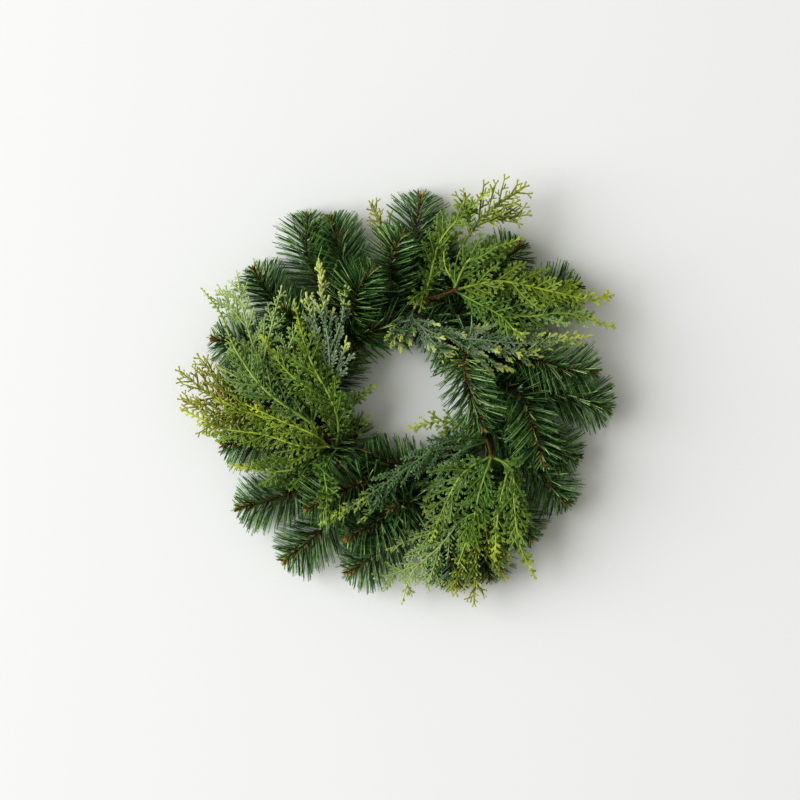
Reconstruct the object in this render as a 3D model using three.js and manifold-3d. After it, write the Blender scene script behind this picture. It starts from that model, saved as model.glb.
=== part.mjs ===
// Artificial fir wreath, 35 cm across: fir tips of wired film needles on a wire ring, with three
// cypress picks bound in among them. Millimetres, +Z towards the front, lying on its back on Z = 0.
import * as THREE from 'three';
import { mergeVertices } from 'three/addons/utils/BufferGeometryUtils.js';
import Module from 'manifold-3d';

const wasm = await Module();
wasm.setup();

// Driving dimensions
const ring = { radius: 70, wire: 3, steps: 36, sides: 8 };
const seat = 0.3; // left between a piece and what carries it
const leastSlant = 0.4; // sine of the flattest angle at which a frond leaves its stem
const air = 0.4; // least space between pieces that pass each other
const core = { radius: 1.5, sides: 5, stepLength: 21 };
const bud = { radius: 1.9, length: 7, sunk: 1 };
const needle = { length: 30, radius: 0.75, sides: 3, lean: 54, spacing: 5.15, bare: 13 };
const needleAtBud = { length: 8, growth: 0.85, closing: 20, fade: 8 }; // shorter, and closer to the wire
const needleJitter = { length: 0.1, lean: 8 };
const needleTurns = [0, 14, -14, 28, -28, 42, -42, 56, -56]; // tried in this order, in degrees
const floorGap = 0.9; // lowest axis of a needle that lies along the floor
const stem = { radius: 1.6, sides: 6, steps: 9 };
const blade = 0.8; // thickness of a frond
const hole = { x: -4, y: 1, halfX: 26, halfY: 35, height: 120, sides: 24 };
const goldenAngle = 137.5;

// Fir tips, from the ring outwards. Each row is the angle of its root on the ring, in degrees from +X,
// then the points that its twisted wire passes, and last the point of its bud.
const outerTips = [
  [86, [8, 129, 13], [13, 161, 15]],
  [58, [68, 97, 13], [93, 121, 16]],
  [42, [100, 75, 12], [138, 89, 16]],
  [6, [120, 3, 12], [163, -9, 15]],
  [-14, [105, -36, 12], [137, -50, 16]],
  [-24, [101, -54, 11], [130, -86, 16]],
  [-47, [75, -82, 12], [102, -114, 16]],
  [-58, [58, -110, 12], [68, -146, 15]],
  [-68, [34, -112, 13], [42, -152, 16]],
  [-88, [-8, -107, 12], [-29, -132, 13], [-46, -142, 15]],
  [-118, [-66, -107, 12], [-97, -132, 15]],
  [-138, [-94, -79, 12], [-133.5, -90, 15]],
  [-163, [-115, -34, 12], [-146, -39, 15]],
  [170, [-112, 36, 12], [-154, 46, 15]],
  [154, [-104, 74, 12], [-122, 102, 16]],
  [128, [-78, 112, 12], [-78, 145, 15]],
  [118, [-50, 110, 16], [-60, 143, 17]],
];
const frontTips = [
  [135, [-42, 71, 27], [-38, 83, 34], [-25, 101, 40]],
  [147.5, [-82, 56, 24], [-97, 70, 32]],
  [97, [-10, 95, 20], [-10, 112, 30], [-1, 130, 36]],
  [27, [90, 34, 20], [118, 25, 28], [151, 18, 30]],
  [36, [52, 40, 20], [47, 25, 31], [50, 9, 37], [62, -26, 40]],
  [11, [92, 2, 24], [103, -27, 34], [110, -53, 38]],
  [-106, [-34, -70, 22], [-50, -76, 30], [-78, -90, 34]],
  [-93, [-18, -97, 20], [-46, -114, 30]],
  [-83, [8, -78, 9], [6, -84, 22], [-2, -87, 33], [-12, -90, 38]],
];
const innerTips = [
  [141, [-32, 50, 13], [-12, 56, 15], [4, 53, 17]],
  [75, [34, 46, 12], [46, 27, 15]],
  [-72, [-2, -57, 12], [-18, -53, 14], [-31, -45, 17]],
  [176, [-55, 20, 12], [-42, 37, 16]],
];

// Pick stems, from the ring up and along, ending in the short post that the fronds are set round
const stems = {
  top: [[10, 69.3, 3.4], [10.1, 70.5, 9], [13, 79, 20], [21, 79, 27], [38, 84, 30], [39, 84.5, 43]],
  left: [[-58.6, -38.2, 3.4], [-58.4, -38.4, 9], [-54, -41, 22], [-73, -23, 30], [-74, -22, 43]],
  bottom: [[60.4, -35.4, 3.4], [60.6, -35.5, 9], [66, -36, 22], [69, -47, 30], [69.5, -48, 43]],
};

// Kinds of frond: half width of the rib, then the side twigs' length, half width, angle to the rib and
// spacing on one side, where along the rib they begin and are longest, how steeply they droop, and any
// forks that each has
const kinds = {
  cypress: { rib: 0.9, twig: 25, wide: 2.6, angle: 42, step: 10.6, from: 0.1, peak: 0.4, droop: 0.1 },
  cedar: { rib: 1, twig: 21, wide: 2.4, angle: 34, step: 9.5, from: 0.16, peak: 0.4, droop: 0.1 },
  fan: { rib: 0.8, twig: 26, wide: 2.2, angle: 38, step: 9.5, from: 0.32, peak: 0.55, droop: 0.05 },
  golden: { rib: 0.8, twig: 24, wide: 0.8, angle: 36, step: 15, from: 0.42, peak: 0.7, droop: 0, forks: 2 },
  sprig: { rib: 0.8, twig: 12, wide: 1.8, angle: 45, step: 8, from: 0.25, peak: 0.5, droop: 0.05 },
};
const twigFoot = 0.7; // of the rib's half width, as wide as a twig may be at its root
const twigSpread = { shortest: 5, first: 0.55, base: 0.25, share: 0.85, jitter: 0.2 };
const belly = 0.45; // where along a twig it is widest
const fork = { share: 0.42, first: 0.35, step: 0.3 }; // length and places, as shares of the twig
const arch = { outline: 24, height: 60, lifted: 0.25 }; // steps along a frond, and its share that climbs
const bareStep = 14; // between outline points where a rib has no twigs
const lifts = [0, 1.5, -1.5, 3, -3, 4.5, -4.5, 6, -6, 8, 10, 12, 14, 16];

// Fronds by pick. A row is the kind, then the points of its rib: the first is where it is set on the
// stem, and the last is its tip.
const fronds = {
  top: [
    ['cypress', [18, 79, 25], [20, 93, 31], [28, 123, 40], [46, 144, 43], [64, 161, 40]],
    ['golden', [39, 84, 34], [41, 107, 36], [52, 130, 39], [70, 150, 41], [93, 165, 40]],
    ['cypress', [39, 84, 40], [50, 107, 43], [66, 116, 44], [90, 124, 40]],
    ['cypress', [39, 84, 38], [74, 91, 43], [117, 83, 44], [146, 77, 41], [164, 80, 35]],
    ['cypress', [39, 84, 31.5], [64, 76, 32], [92, 64, 34], [128, 66, 36], [163, 56, 31]],
    ['sprig', [39, 84, 35], [54, 76, 40], [78, 62, 43], [91, 47, 42]],
    ['cedar', [12, 80, 11], [6, 64, 22], [24, 50, 28], [60, 45, 33], [100, 42, 34], [148, 48, 30]],
    ['golden', [10.1, 70.5, 8.5], [-3, 108, 18], [-16, 130, 21], [-26, 152, 23]],
  ],
  left: [
    ['cypress', [-74, -22, 41.5], [-112, 6, 47], [-135, 38, 47], [-147, 66, 42], [-161, 84, 35]],
    ['fan', [-74, -22, 39], [-95, 5, 38], [-117, 32, 40], [-128, 65, 40], [-134, 98, 37]],
    ['cedar', [-74, -22, 36.5], [-63, 4, 37], [-60, 30, 41], [-64, 66, 45], [-68, 106, 44]],
    ['golden', [-74, -22, 34], [-110, -14, 34], [-147, -4, 34], [-178, 18, 31]],
    ['cypress', [-54, -41, 26], [-78, -41, 32], [-112, -31, 34], [-149, -25, 30], [-178, -11, 24]],
    ['sprig', [-54, -41, 22], [-64, -58, 30], [-62, -76, 36], [-63, -97, 36]],
    ['cypress', [-74, -22, 32], [-76, -4, 36], [-84, 20, 38], [-92, 50, 38]],
    ['sprig', [-54, -41, 19], [-46, -18, 25], [-38, 0, 28], [-25, 8, 28]],
    ['cypress', [-55, -40, 23.5], [-53, -24, 37], [-58, -4, 47], [-72, 22, 48], [-80, 43, 46],
      [-87, 70, 41]],
    ['cypress', [-56, -40, 15], [-80, -56, 23], [-108, -61, 25], [-135, -56, 22]],
  ],
  bottom: [
    ['cypress', [69.5, -48, 40], [84, -58, 44], [87, -90, 44], [92, -120, 38], [103, -143, 30]],
    ['cypress', [69.5, -48, 36], [60, -74, 40], [54, -100, 40], [44, -130, 34]],
    ['cypress', [69.5, -48, 33], [48, -60, 36], [34, -82, 37], [22, -112, 32]],
    ['cedar', [66, -36, 20], [36, -36, 30], [2, -57, 38], [-30, -80, 42], [-66, -101, 40]],
    ['cedar', [66, -36, 23], [42, -46, 31], [24, -68, 30], [15, -92, 26]],
    ['sprig', [66, -36, 17], [50, -26, 25], [32, -20, 28], [4, -26, 28]],
    ['golden', [69.5, -48, 31.5], [64, -85, 31], [58, -122, 32], [51, -157, 31]],
    ['fan', [69.5, -48, 30], [50, -90, 30], [29, -119, 30], [6, -141, 28], [-2, -164, 24]],
  ],
};

const finishes = {
  wire: { color: '#3f4a3a', roughness: 0.5, metalness: 0.6 },
  fir: { color: '#2f5c36', roughness: 0.55, metalness: 0 },
  stem: { color: '#7d4131', roughness: 0.6, metalness: 0 },
  cypress: { color: '#6b8f35', roughness: 0.55, metalness: 0 },
  golden: { color: '#a9a542', roughness: 0.55, metalness: 0 },
  cedar: { color: '#5c755f', roughness: 0.65, metalness: 0 },
  fan: { color: '#84a45c', roughness: 0.55, metalness: 0 },
  sprig: { color: '#6b8f35', roughness: 0.55, metalness: 0 },
};

// A small seeded random source, so that every build gives the same wreath
function randomFrom(seed) {
  let state = seed >>> 0;
  return () => {
    state = (state + 0x6d2b79f5) >>> 0;
    let mixed = Math.imul(state ^ (state >>> 15), 1 | state);
    mixed = (mixed + Math.imul(mixed ^ (mixed >>> 7), 61 | mixed)) ^ mixed;
    return ((mixed ^ (mixed >>> 14)) >>> 0) / 4294967296;
  };
}

const radians = (degrees) => THREE.MathUtils.degToRad(degrees);
const vector = (point) => new THREE.Vector3(...point);

// Solids and their geometry
function toSolid(geometry) {
  const bare = geometry.clone();
  bare.deleteAttribute('normal');
  bare.deleteAttribute('uv');
  const merged = mergeVertices(bare, 1e-4);
  return new wasm.Manifold(new wasm.Mesh({
    numProp: 3,
    vertProperties: new Float32Array(merged.attributes.position.array),
    triVerts: new Uint32Array(merged.index.array),
  }));
}

function toGeometry(solid) {
  const mesh = solid.getMesh();
  const geometry = new THREE.BufferGeometry();
  geometry.setAttribute('position', new THREE.BufferAttribute(new Float32Array(mesh.vertProperties), 3));
  geometry.setIndex(new THREE.BufferAttribute(new Uint32Array(mesh.triVerts), 1));
  geometry.computeVertexNormals();
  return geometry;
}

function boxOf(solid) {
  const { min, max } = solid.boundingBox();
  return new THREE.Box3(vector(min), vector(max));
}

// What is already in the wreath, so that the next piece can be bent clear of it
const placed = [];

function place(owner, solid) {
  placed.push({ owner, solid, box: boxOf(solid) });
}

function clears(owner, solid, carrier) {
  const box = boxOf(solid);
  for (const other of placed) {
    if (other.owner === owner || other.owner === carrier || !other.box.intersectsBox(box)) continue;
    const shared = solid.intersect(other.solid);
    const empty = shared.isEmpty();
    shared.delete();
    if (!empty) return false;
  }
  return true;
}

function polygon(sides, radius) {
  const corners = [];
  for (let i = 0; i < sides; i += 1) {
    const turn = (2 * Math.PI * (i + 0.5)) / sides;
    corners.push(new THREE.Vector2(radius * Math.cos(turn), radius * Math.sin(turn)));
  }
  return new THREE.Shape(corners);
}

function rod(path, radius, sides, steps) {
  return new THREE.ExtrudeGeometry(polygon(sides, radius), { extrudePath: path, steps, bevelEnabled: false });
}

// A slim cone that stands on root and points along direction
function spike(root, direction, length, radius, sides) {
  const cone = new THREE.ConeGeometry(radius, length, sides);
  cone.translate(0, length / 2, 0);
  cone.applyQuaternion(new THREE.Quaternion().setFromUnitVectors(new THREE.Vector3(0, 1, 0), direction));
  cone.translate(root.x, root.y, root.z);
  return cone;
}

// Wire ring, with one flat of its section down
function wireRing() {
  const half = ring.wire / 2;
  const reach = half / Math.cos(Math.PI / ring.sides);
  const profile = [];
  for (let i = 0; i <= ring.sides; i += 1) {
    const turn = (2 * Math.PI * (i + 0.5)) / ring.sides;
    profile.push(new THREE.Vector2(ring.radius + reach * Math.cos(turn), half + reach * Math.sin(turn)));
  }
  const geometry = new THREE.LatheGeometry(profile, ring.steps);
  geometry.rotateX(Math.PI / 2);
  return geometry;
}

// The twisted wire of a fir tip, from its seat on the ring to its bud
function tipPath([angle, ...points]) {
  const turn = radians(angle);
  const height = ring.wire + seat + core.radius;
  const root = new THREE.Vector3(ring.radius * Math.cos(turn), ring.radius * Math.sin(turn), height);
  return new THREE.CatmullRomCurve3([root, ...points.map(vector)]);
}

const pathSteps = 100; // places along a path at which its direction is taken
const coreSteps = (path) => Math.ceil(path.getLength() / core.stepLength);

function tipCore(path) {
  const wires = toSolid(rod(path, core.radius, core.sides, coreSteps(path)));
  const forward = path.getTangentAt(1);
  const foot = path.getPointAt(1).addScaledVector(forward, -bud.sunk);
  const point = toSolid(spike(foot, forward, bud.length, bud.radius, core.sides));
  return wires.add(point);
}

// Needles stand round the wire, leaning towards the bud, and shorten to it, so that the tip ends round.
// One that would reach the floor lies along it, and one that would cross another piece turns aside.
function needlesOf(name, path, random) {
  const length = path.getLength();
  const joints = path.getSpacedPoints(coreSteps(path));
  const frames = path.computeFrenetFrames(pathSteps);
  const found = [];
  let roll = random() * 360;
  for (let back = bud.length / 3; back < length - needle.bare; back += needle.spacing) {
    const at = 1 - back / length;
    const frame = Math.round(at * pathSteps);
    const joint = Math.floor(at * (joints.length - 1));
    const root = joints[joint].clone().lerp(joints[joint + 1], at * (joints.length - 1) - joint);
    const longest = Math.min(needle.length, needleAtBud.length + back * needleAtBud.growth);
    const reach = longest * (1 - needleJitter.length * random());
    const closing = needleAtBud.closing * Math.exp(-back / needleAtBud.fade);
    const lean = radians(needle.lean - closing + needleJitter.lean * (random() - 0.5));
    roll += goldenAngle;
    for (const turn of needleTurns) {
      const angle = radians(roll + turn);
      const direction = new THREE.Vector3()
        .addScaledVector(frames.normals[frame], Math.sin(lean) * Math.cos(angle))
        .addScaledVector(frames.binormals[frame], Math.sin(lean) * Math.sin(angle))
        .addScaledVector(frames.tangents[frame], Math.cos(lean));
      const lowest = (floorGap - root.z) / (reach + air);
      if (direction.z < lowest) {
        const level = new THREE.Vector2(direction.x, direction.y).setLength(Math.sqrt(1 - lowest * lowest));
        direction.set(level.x, level.y, lowest);
      }
      const tried = toSolid(spike(root, direction, reach + air, needle.radius + air, needle.sides));
      const free = clears(name, tried);
      tried.delete();
      if (free) {
        found.push(toSolid(spike(root, direction, reach, needle.radius, needle.sides)));
        break;
      }
    }
  }
  return found;
}

// One side of a branch, then its tip, then the other side, with the outlines of its twigs between
function outline(branch) {
  const { line, half, twigs } = branch;
  const tip = line.getPoint(1);
  const along = (side) => {
    const marks = [{ at: 0 }];
    const first = twigs.length ? Math.min(...twigs.map((twig) => twig.at)) : 0;
    const bare = Math.floor((first * line.getLength()) / bareStep);
    for (let i = 1; i <= bare; i += 1) marks.push({ at: (first * i) / (bare + 1) });
    if (side < 0 && branch.leafy) marks.push({ at: belly, wide: true });
    marks.push(...twigs.filter((twig) => twig.side === side));
    return marks.sort((a, b) => (a.at - b.at) * side);
  };
  const points = [];
  const add = (side) => {
    for (const mark of along(side)) {
      if (mark.branch) {
        points.push(...outline(mark.branch));
        continue;
      }
      const centre = line.getPoint(mark.at);
      const heading = line.getTangent(mark.at);
      const width = side * (mark.wide ? half : branch.foot);
      points.push(new THREE.Vector2(centre.x - heading.y * width, centre.y + heading.x * width));
    }
  };
  add(1);
  points.push(new THREE.Vector2(tip.x, tip.y));
  add(-1);
  return points;
}

function twigAt(line, at, side, kind, length, forks) {
  const centre = line.getPoint(at);
  const heading = line.getTangent(at);
  const angle = radians(kind.angle);
  const turn = Math.atan2(heading.y, heading.x) + side * angle;
  const way = new THREE.Vector2(Math.cos(turn), Math.sin(turn));
  const start = new THREE.Vector2(centre.x, centre.y).addScaledVector(way, kind.rib / Math.sin(angle));
  const end = start.clone().addScaledVector(way, length);
  const twigLine = new THREE.LineCurve(start, end);
  const twigs = [];
  for (let i = 0; i < forks; i += 1) {
    const forkSide = i % 2 ? -side : side;
    twigs.push(twigAt(twigLine, fork.first + fork.step * i, forkSide, kind, length * fork.share, 0));
  }
  const foot = Math.min(kind.wide, kind.rib * twigFoot);
  return { at, side, branch: { line: twigLine, half: kind.wide, foot, leafy: !forks, twigs } };
}

// Side twigs are longest at the kind's peak and shorten to the frond's tip
function twigLength(kind, at, random) {
  const { shortest, first, base, share, jitter } = twigSpread;
  const climb = first + ((1 - first) * (at - kind.from)) / (kind.peak - kind.from);
  const rise = at < kind.peak ? climb : (1 - at) / (1 - kind.peak);
  const spread = 1 - jitter / 2 + jitter * random();
  return Math.max(shortest, kind.twig * Math.min(1, base + rise * share) * spread);
}

// A frond is one thin arched blade, its side twigs cut to the rib. Its first point is moved from the
// middle of the stem to just off the stem's skin.
function frondBlade(kindName, points, stemPath, lift, thickness, random) {
  const kind = kinds[kindName];
  const route = points.map(vector);
  const sunk = nearestOn(stemPath, route[0]);
  const away = route[1].clone().sub(sunk.point).normalize();
  const cosine = Math.abs(away.dot(sunk.tangent));
  const sine = Math.max(leastSlant, Math.sqrt(1 - cosine * cosine));
  const skin = stem.radius + seat + kind.rib * cosine;
  route[0] = sunk.point.clone().addScaledVector(away, skin / sine);
  const rib = new THREE.CatmullRomCurve3(route);
  const length = rib.getLength();
  const flat = new THREE.SplineCurve(
    rib.getSpacedPoints(arch.outline).map((point) => new THREE.Vector2(point.x, point.y)),
  );
  const twigs = [];
  let side = 1;
  for (let run = kind.from * length; run < length - twigSpread.shortest; run += kind.step / 2) {
    const reach = twigLength(kind, run / length, random);
    const forks = reach > 2 * twigSpread.shortest ? kind.forks ?? 0 : 0;
    twigs.push(twigAt(flat, run / length, side, kind, reach, forks));
    side = -side;
  }
  const shape = new THREE.Shape(outline({ line: flat, half: kind.rib, foot: kind.rib, twigs }));
  const geometry = new THREE.ExtrudeGeometry(shape, { depth: thickness, steps: 1, bevelEnabled: false });
  const samples = rib.getSpacedPoints(arch.height);
  const position = geometry.attributes.position;
  for (let i = 0; i < position.count; i += 1) {
    let nearest = 0;
    let distance = Infinity;
    samples.forEach((sample, index) => {
      const apart = Math.hypot(sample.x - position.getX(i), sample.y - position.getY(i));
      if (apart < distance) {
        distance = apart;
        nearest = index;
      }
    });
    const raised = lift * THREE.MathUtils.smoothstep(nearest / arch.height, 0, arch.lifted);
    const middle = samples[nearest].z + raised - kind.droop * distance;
    position.setZ(i, position.getZ(i) + middle - thickness / 2);
  }
  return toSolid(geometry);
}

function nearestOn(path, target) {
  let best = { distance: Infinity };
  for (let i = 0; i <= pathSteps; i += 1) {
    const point = path.getPointAt(i / pathSteps);
    const distance = point.distanceTo(target);
    if (distance < best.distance) best = { distance, point, tangent: path.getTangentAt(i / pathSteps) };
  }
  return best;
}

const stemPaths = {};
const stemName = (pick) => `pick_${pick}_stem`;

// A frond that would cross what is there already is lifted or lowered until it clears it
function settledFrond(name, kind, points, pick, seed) {
  const stemPath = stemPaths[pick];
  for (const lift of lifts) {
    const tried = frondBlade(kind, points, stemPath, lift, blade + 2 * air, randomFrom(seed));
    const solid = frondBlade(kind, points, stemPath, lift, blade, randomFrom(seed));
    if (clears(name, tried, stemName(pick)) && clears(name, solid)) return solid;
  }
  throw new Error(`${name} finds no clear way`);
}

// Assembly
const pieces = [];

function keep(name, solid, finish) {
  pieces.push({ name, solid, finish });
}

const ringSolid = toSolid(wireRing());
place('wire_ring', ringSolid);
keep('wire_ring', ringSolid, 'wire');

for (const [pick, points] of Object.entries(stems)) {
  const name = stemName(pick);
  stemPaths[pick] = new THREE.CatmullRomCurve3(points.map(vector));
  const solid = toSolid(rod(stemPaths[pick], stem.radius, stem.sides, stem.steps));
  place(name, solid);
  keep(name, solid, 'stem');
}

const tips = [
  ...outerTips.map((row, i) => ({ name: `fir_tip_outer_${i + 1}`, row })),
  ...frontTips.map((row, i) => ({ name: `fir_tip_front_${i + 1}`, row })),
  ...innerTips.map((row, i) => ({ name: `fir_tip_inner_${i + 1}`, row })),
];
for (const tip of tips) {
  tip.path = tipPath(tip.row);
  tip.core = tipCore(tip.path);
  if (!clears(tip.name, tip.core)) throw new Error(`${tip.name} crosses another wire`);
  place(tip.name, tip.core);
}

let seed = 11;
for (const [pick, rows] of Object.entries(fronds)) {
  const count = {};
  for (const [kind, ...points] of rows) {
    count[kind] = (count[kind] ?? 0) + 1;
    seed += 7;
    const name = `pick_${pick}_${kind}_${count[kind]}`;
    const solid = settledFrond(name, kind, points, pick, seed);
    place(name, solid);
    keep(name, solid, kind);
  }
}

// The way through the middle stays open
const way = new THREE.CylinderGeometry(1, 1, hole.height, hole.sides);
way.rotateX(Math.PI / 2);
way.scale(hole.halfX, hole.halfY, 1);
way.translate(hole.x, hole.y, 0);
place('way_through', toSolid(way));

tips.forEach((tip, index) => {
  const needles = needlesOf(tip.name, tip.path, randomFrom(300 + index));
  for (const solid of needles) place(tip.name, solid);
  keep(tip.name, needles.reduce((sum, solid) => sum.add(solid), tip.core), 'fir');
});

// The origin is under the middle of the wreath's box
const bounds = new THREE.Box3();
for (const piece of pieces) bounds.union(boxOf(piece.solid));
const middle = bounds.getCenter(new THREE.Vector3());

const wreath = new THREE.Group();
wreath.position.set(-middle.x, -middle.y, -bounds.min.z);
for (const { name, solid, finish } of pieces) {
  const mesh = new THREE.Mesh(toGeometry(solid), new THREE.MeshStandardMaterial(finishes[finish]));
  mesh.name = name;
  wreath.add(mesh);
}

export default wreath;
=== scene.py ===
# Artificial fir wreath, 35 cm across, lying on its back as it is seen from the front: wired tips of
# cut film needles and three picks of moulded cypress, bound on a wire ring. Metres, +Z to the front.
import math
from functools import partial
import bpy
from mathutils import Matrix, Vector


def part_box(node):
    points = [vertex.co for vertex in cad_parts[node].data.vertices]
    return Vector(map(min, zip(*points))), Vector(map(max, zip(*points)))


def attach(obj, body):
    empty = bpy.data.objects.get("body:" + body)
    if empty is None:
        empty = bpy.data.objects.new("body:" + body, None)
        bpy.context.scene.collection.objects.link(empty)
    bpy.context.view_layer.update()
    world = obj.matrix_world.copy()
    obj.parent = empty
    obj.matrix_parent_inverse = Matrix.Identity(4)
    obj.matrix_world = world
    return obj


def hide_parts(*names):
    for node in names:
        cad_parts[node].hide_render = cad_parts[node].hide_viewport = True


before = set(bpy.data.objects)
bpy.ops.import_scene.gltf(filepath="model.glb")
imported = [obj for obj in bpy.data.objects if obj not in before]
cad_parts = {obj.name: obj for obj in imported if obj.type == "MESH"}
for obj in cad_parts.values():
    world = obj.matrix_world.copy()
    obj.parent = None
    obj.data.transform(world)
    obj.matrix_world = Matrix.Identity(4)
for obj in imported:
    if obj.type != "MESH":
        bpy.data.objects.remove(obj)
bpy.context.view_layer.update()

mm = 0.001
degree = math.pi / 180
goldenAngle = 137.5 * degree
up = Vector((0, 0, 1))
ringLow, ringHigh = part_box("wire_ring")
ringCentre = Vector(((ringLow.x + ringHigh.x) / 2, (ringLow.y + ringHigh.y) / 2, 0))


def addNode(tree, kind, inputs=(), stops=(), **settings):
    # inputs go by name or in their order, each a value, a socket or the outputs of a node
    node = tree.nodes.new(kind)
    for name, value in settings.items():
        setattr(node, name, value)
    for socket, given in inputs.items() if isinstance(inputs, dict) else enumerate(inputs):
        if isinstance(given, bpy.types.bpy_prop_collection):
            given = given[0]
        if isinstance(given, bpy.types.NodeSocket):
            tree.links.new(given, node.inputs[socket])
        else:
            node.inputs[socket].default_value = given
    if stops:  # of a colour ramp
        ramp = node.color_ramp.elements
        while len(ramp) < len(stops):
            ramp.new(0.5)
        for element, (at, hexCode) in zip(ramp, stops):
            element.position = at
            element.color = colour(hexCode)
    return node.outputs


def colour(hexCode):
    parts = [int(hexCode[i:i + 2], 16) / 255 for i in (1, 3, 5)]
    return [p / 12.92 if p <= 0.04045 else ((p + 0.055) / 1.055) ** 2.4 for p in parts] + [1]


# Paths and meshes
def fromRing(points):  # millimetres from the middle of the ring, to metres in the frame
    return [ringCentre + Vector(point) * mm for point in points]


def smoothPath(points, count=24):  # the curve through the points that the solids follow
    ends = [2 * points[0] - points[1], *points, 2 * points[-1] - points[-2]]
    path = []
    for a, b, c, d in zip(ends, ends[1:], ends[2:], ends[3:]):
        before, here, after = (math.sqrt((q - p).length) for p, q in ((a, b), (b, c), (c, d)))
        leave = ((b - a) / before - (c - a) / (before + here) + (c - b) / here) * here
        arrive = ((c - b) / here - (d - b) / (here + after) + (d - c) / after) * here
        for i in range(count):
            t = i / count
            path.append(b * (2 * t**3 - 3 * t**2 + 1) + leave * (t**3 - 2 * t**2 + t)
                        + c * (3 * t**2 - 2 * t**3) + arrive * (t**3 - t**2))
    path.append(points[-1])
    return path


def offshoot(path, points):  # a curve that starts on a path, at its nearest point
    route = fromRing(points)
    route[0] = min(path, key=lambda p: (p - route[0]).length)
    return smoothPath(route)


def newTree(name, numbers, others):  # the other inputs come with their kinds
    tree = bpy.data.node_groups.new(name, "GeometryNodeTree")
    for label, kind in {"Geometry": "Geometry", **dict.fromkeys(numbers, "Float"), **others}.items():
        tree.interface.new_socket(label, in_out="INPUT", socket_type="NodeSocket" + kind)
    tree.interface.new_socket("Geometry", in_out="OUTPUT", socket_type="NodeSocketGeometry")
    add = partial(addNode, tree)
    given = add("NodeGroupInput")
    return tree, add, given, add("GeometryNodeMeshToCurve", {"Mesh": given["Geometry"]})


def finishTree(tree, add, shape, material):
    finished = add("GeometryNodeSetMaterial", {"Geometry": shape, "Material": material})
    add("NodeGroupOutput", {"Geometry": finished})
    return tree


def grown(tree, path, values, closed=False):  # the plain mesh that a tree makes of a path
    edges = [(i, i + 1) for i in range(len(path) - 1)]
    if closed:
        edges.append((len(path) - 1, 0))
    line = bpy.data.meshes.new("path")
    line.from_pydata(path, edges, [])
    carrier = bpy.data.objects.new("carrier", line)
    bpy.context.collection.objects.link(carrier)
    modifier = carrier.modifiers.new("grow", "NODES")
    modifier.node_group = tree
    for item in tree.interface.items_tree:
        if item.in_out == "INPUT" and item.name in values:
            modifier[item.identifier] = values[item.name]
    depsgraph = bpy.context.evaluated_depsgraph_get()
    result = bpy.data.meshes.new_from_object(
        carrier.evaluated_get(depsgraph), preserve_all_data_layers=True, depsgraph=depsgraph)
    bpy.data.objects.remove(carrier)
    return result


def finishPiece(name, meshes, node):
    parts = [bpy.data.objects.new(name, mesh) for mesh in meshes]
    piece = parts[0]
    for part in parts:
        bpy.context.collection.objects.link(part)
    if len(parts) > 1:
        with bpy.context.temp_override(active_object=piece, object=piece,
                                       selected_objects=parts, selected_editable_objects=parts):
            bpy.ops.object.join()
    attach(piece, "root")
    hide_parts(node)


# Materials
def newMaterial(name, patchMm, detail, distortion=0.0):  # and the noise that its colour or relief follows
    material = bpy.data.materials.new(name)
    material.use_nodes = True
    material.node_tree.nodes.clear()
    add = partial(addNode, material.node_tree)
    place = add("ShaderNodeTexCoord")["Object"]
    noise = add("ShaderNodeTexNoise", {
        "Vector": place, "Scale": 1 / (patchMm * mm), "Detail": detail, "Distortion": distortion})
    return material, add, place, noise["Fac"]


def finishMaterial(add, height, strength, depthMm, surface, **settings):  # with a relief on it
    bump = add("ShaderNodeBump", {
        "Height": height, "Strength": strength, "Distance": depthMm * mm}, **settings)
    shader = add("ShaderNodeBsdfPrincipled", {**surface, "Normal": bump})
    add("ShaderNodeOutputMaterial", {"Surface": shader})


# greens of the film needles: pale, at the top of the ramp, is a painted highlight on a share of the needles
filmLook = {"dark": "#2d4a26", "mid": "#6e9e54", "light": "#aace80", "pale": "#c4d8a8", "creaseMm": 0.35}


def needleFilm():
    # PVC film, calendered and slit into needles: satin, each needle its own green, with fine creases. The
    # palest green is a painted highlight, and painted shade darkens each needle towards the wire
    material, add, place, cloud = newMaterial("slit PVC film, green", 2.5, 2.0)
    shade = add("ShaderNodeAttribute", attribute_name="shade")["Fac"]
    along = add("ShaderNodeAttribute", attribute_name="along")["Fac"]
    green = add("ShaderNodeValToRGB", {"Fac": shade}, stops=[
        (0.15, filmLook["dark"]), (0.6, filmLook["mid"]), (0.88, filmLook["light"]),
        (1.0, filmLook["pale"])])
    worn = add("ShaderNodeMapRange", {"Value": cloud, 1: 0.35, 2: 0.7, 3: 0.7, 4: 1.25})
    # painted shade: each needle is darker towards its root at the wire, where the other needles shade it
    rooted = add("ShaderNodeMapRange", {"Value": along, 1: 0.0, 2: 0.6, 3: 0.4, 4: 1.05})
    value = add("ShaderNodeMath", [worn, rooted], operation="MULTIPLY")
    toned = add("ShaderNodeHueSaturation", {"Color": green["Color"], "Value": value})
    creases = add("ShaderNodeTexNoise", {
        "Vector": place, "Scale": 1 / (filmLook["creaseMm"] * mm), "Detail": 1.0})
    rough = add("ShaderNodeMapRange", {"Value": cloud, 3: 0.36, 4: 0.52})
    finishMaterial(add, creases["Fac"], 0.25, 0.1, {"Base Color": toned, "Roughness": rough, "IOR": 1.53})
    return material


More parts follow.
